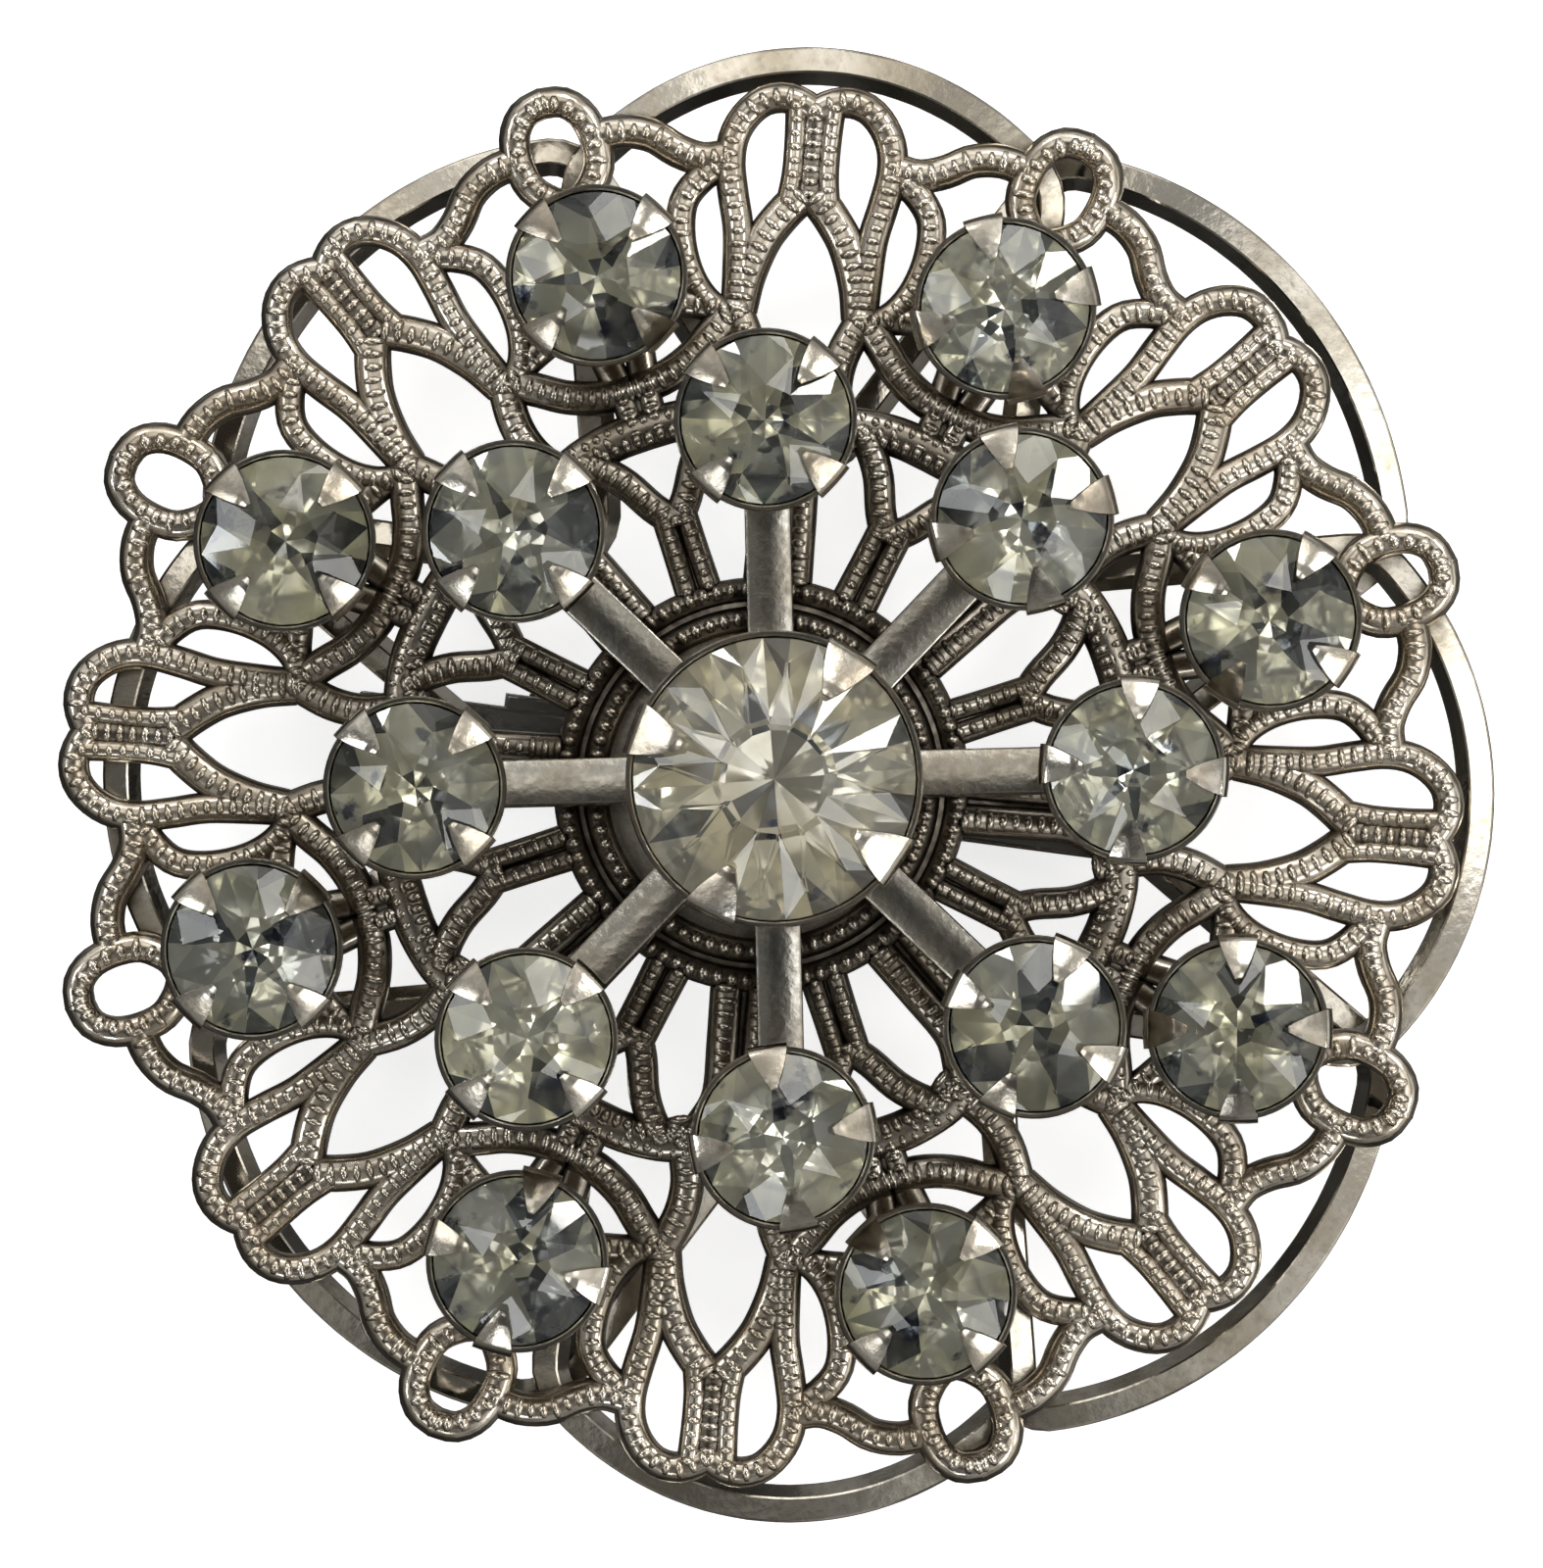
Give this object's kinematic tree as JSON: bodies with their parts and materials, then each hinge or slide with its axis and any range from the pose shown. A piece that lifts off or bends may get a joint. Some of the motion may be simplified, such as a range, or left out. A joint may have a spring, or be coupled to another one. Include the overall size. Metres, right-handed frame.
{
  "type": "hair clip",
  "caption": "Round domed openwork hair ornament with claw-set faceted stones on a lobed flat-wire frame, with a slim sprung clip behind it.",
  "frame": {"origin": "middle of the outline seen from the front, on the plane that the closed clip's jaw lies on", "axes": "+Z out of the face with the stones, +Y up and +X right as the face is seen, with the clip lying nearly along X"},
  "size_m": [0.05, 0.0514, 0.0174],
  "materials": {
    "filigree_metal": "antiqued silver plating, brown in the recesses and bright on the beads",
    "star_metal": "smooth dull silver plating",
    "setting_metal": "thin bright silver plating",
    "frame_metal": "smooth silver plating, a little brown",
    "clip_steel": "smooth plated spring steel",
    "stone_glass": "cut glass over a worn silver foil",
    "centre_glass": "cut glass over a worn silver foil, pale yellow-grey"
  },
  "bodies": {
    "ornament": {"filigree": "filigree_metal", "star": "star_metal", "centre_setting": "setting_metal", "inner_setting_1": "setting_metal", "inner_setting_2": "setting_metal", "inner_setting_3": "setting_metal", "inner_setting_4": "setting_metal", "inner_setting_5": "setting_metal", "inner_setting_6": "setting_metal", "inner_setting_7": "setting_metal", "inner_setting_8": "setting_metal", "outer_setting_1": "setting_metal", "outer_setting_2": "setting_metal", "outer_setting_3": "setting_metal", "outer_setting_4": "setting_metal", "outer_setting_5": "setting_metal", "outer_setting_6": "setting_metal", "outer_setting_7": "setting_metal", "outer_setting_8": "setting_metal", "centre_stone": "centre_glass", "inner_stone_1": "stone_glass", "inner_stone_2": "stone_glass", "inner_stone_3": "stone_glass", "inner_stone_4": "stone_glass", "inner_stone_5": "stone_glass", "inner_stone_6": "stone_glass", "inner_stone_7": "stone_glass", "inner_stone_8": "stone_glass", "outer_stone_1": "stone_glass", "outer_stone_2": "stone_glass", "outer_stone_3": "stone_glass", "outer_stone_4": "stone_glass", "outer_stone_5": "stone_glass", "outer_stone_6": "stone_glass", "outer_stone_7": "stone_glass", "outer_stone_8": "stone_glass", "frame_loop_upper": "frame_metal", "frame_loop_lower": "frame_metal", "clip_bar": "clip_steel", "hinge_pin": "clip_steel", "clip_spring": "clip_steel", "centre_rivet": "clip_steel", "spacer_tube": "clip_steel"},
    "jaw": {"clip_jaw": "clip_steel"}
  },
  "joints": [
    {"name": "clip_hinge", "type": "hinge", "parent": "ornament", "child": "jaw", "pos_m": [-0.0085, 0.00131, 0.00195], "axis": [0.1305, 0.9914, 0], "range_deg": [0, 22], "stiffness_Nm_per_rad": 0.01, "springref_deg": -57.3, "deforming": ["clip_spring"]}
  ]
}
